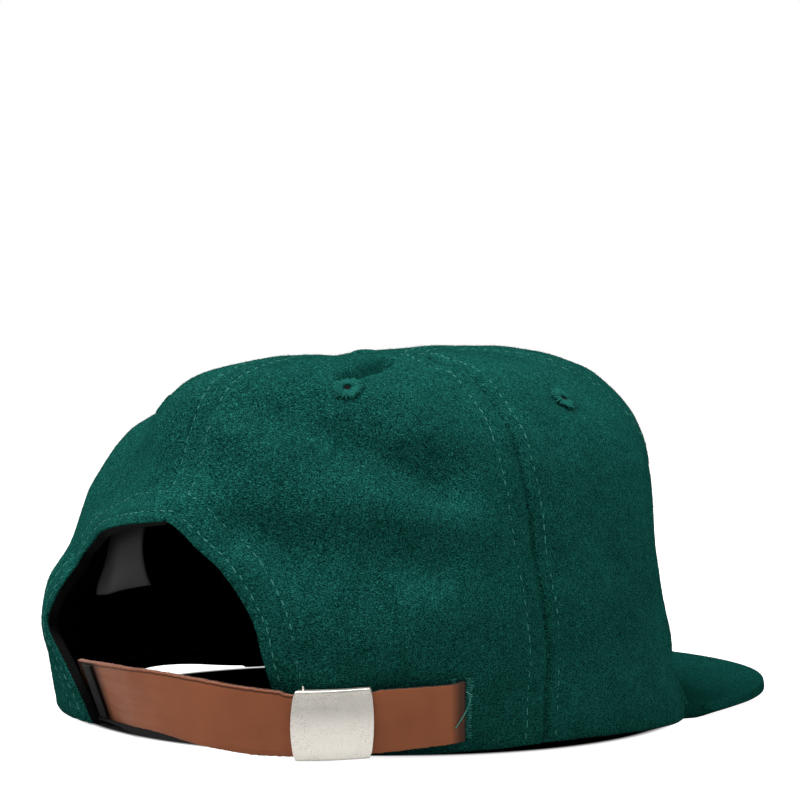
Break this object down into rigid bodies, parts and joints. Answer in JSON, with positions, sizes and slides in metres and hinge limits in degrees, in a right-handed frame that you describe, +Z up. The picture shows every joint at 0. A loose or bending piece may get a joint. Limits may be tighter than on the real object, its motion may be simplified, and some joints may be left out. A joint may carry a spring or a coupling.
{
  "type": "strapback cap",
  "caption": "Low wool cap with a flat peak, a rear opening closed by a leather strap and slide buckle, and a button on top.",
  "frame": {"origin": "middle of the outline on the surface that the cap rests on", "axes": "+Z up, the peak toward -Y, the wearer's right toward -X"},
  "size_m": [0.1886, 0.2308, 0.1064],
  "materials": {
    "wool": "brushed wool cloth, matt",
    "peak_wool": "brushed wool cloth over board, matt",
    "button_wool": "brushed wool cloth, matt",
    "eyelet_thread": "stitched thread, soft sheen",
    "leather": "smooth tan leather, satin",
    "nickel": "satin nickel",
    "loop_cloth": "woven black ribbon",
    "label_cloth": "thin woven label",
    "lining_cloth": "plain black cloth"
  },
  "bodies": {
    "root": {"crown_panel_back_right": "wool", "eyelet_back_right": "eyelet_thread", "crown_panel_side_right": "wool", "eyelet_side_right": "eyelet_thread", "crown_panel_front_right": "wool", "eyelet_front_right": "eyelet_thread", "crown_panel_back_left": "wool", "eyelet_back_left": "eyelet_thread", "crown_panel_side_left": "wool", "eyelet_side_left": "eyelet_thread", "crown_panel_front_left": "wool", "eyelet_front_left": "eyelet_thread", "peak": "peak_wool", "strap": "leather", "buckle": "nickel", "loop_label": "loop_cloth", "care_label": "label_cloth", "lining": "lining_cloth", "top_button": "button_wool"}
  },
  "joints": []
}
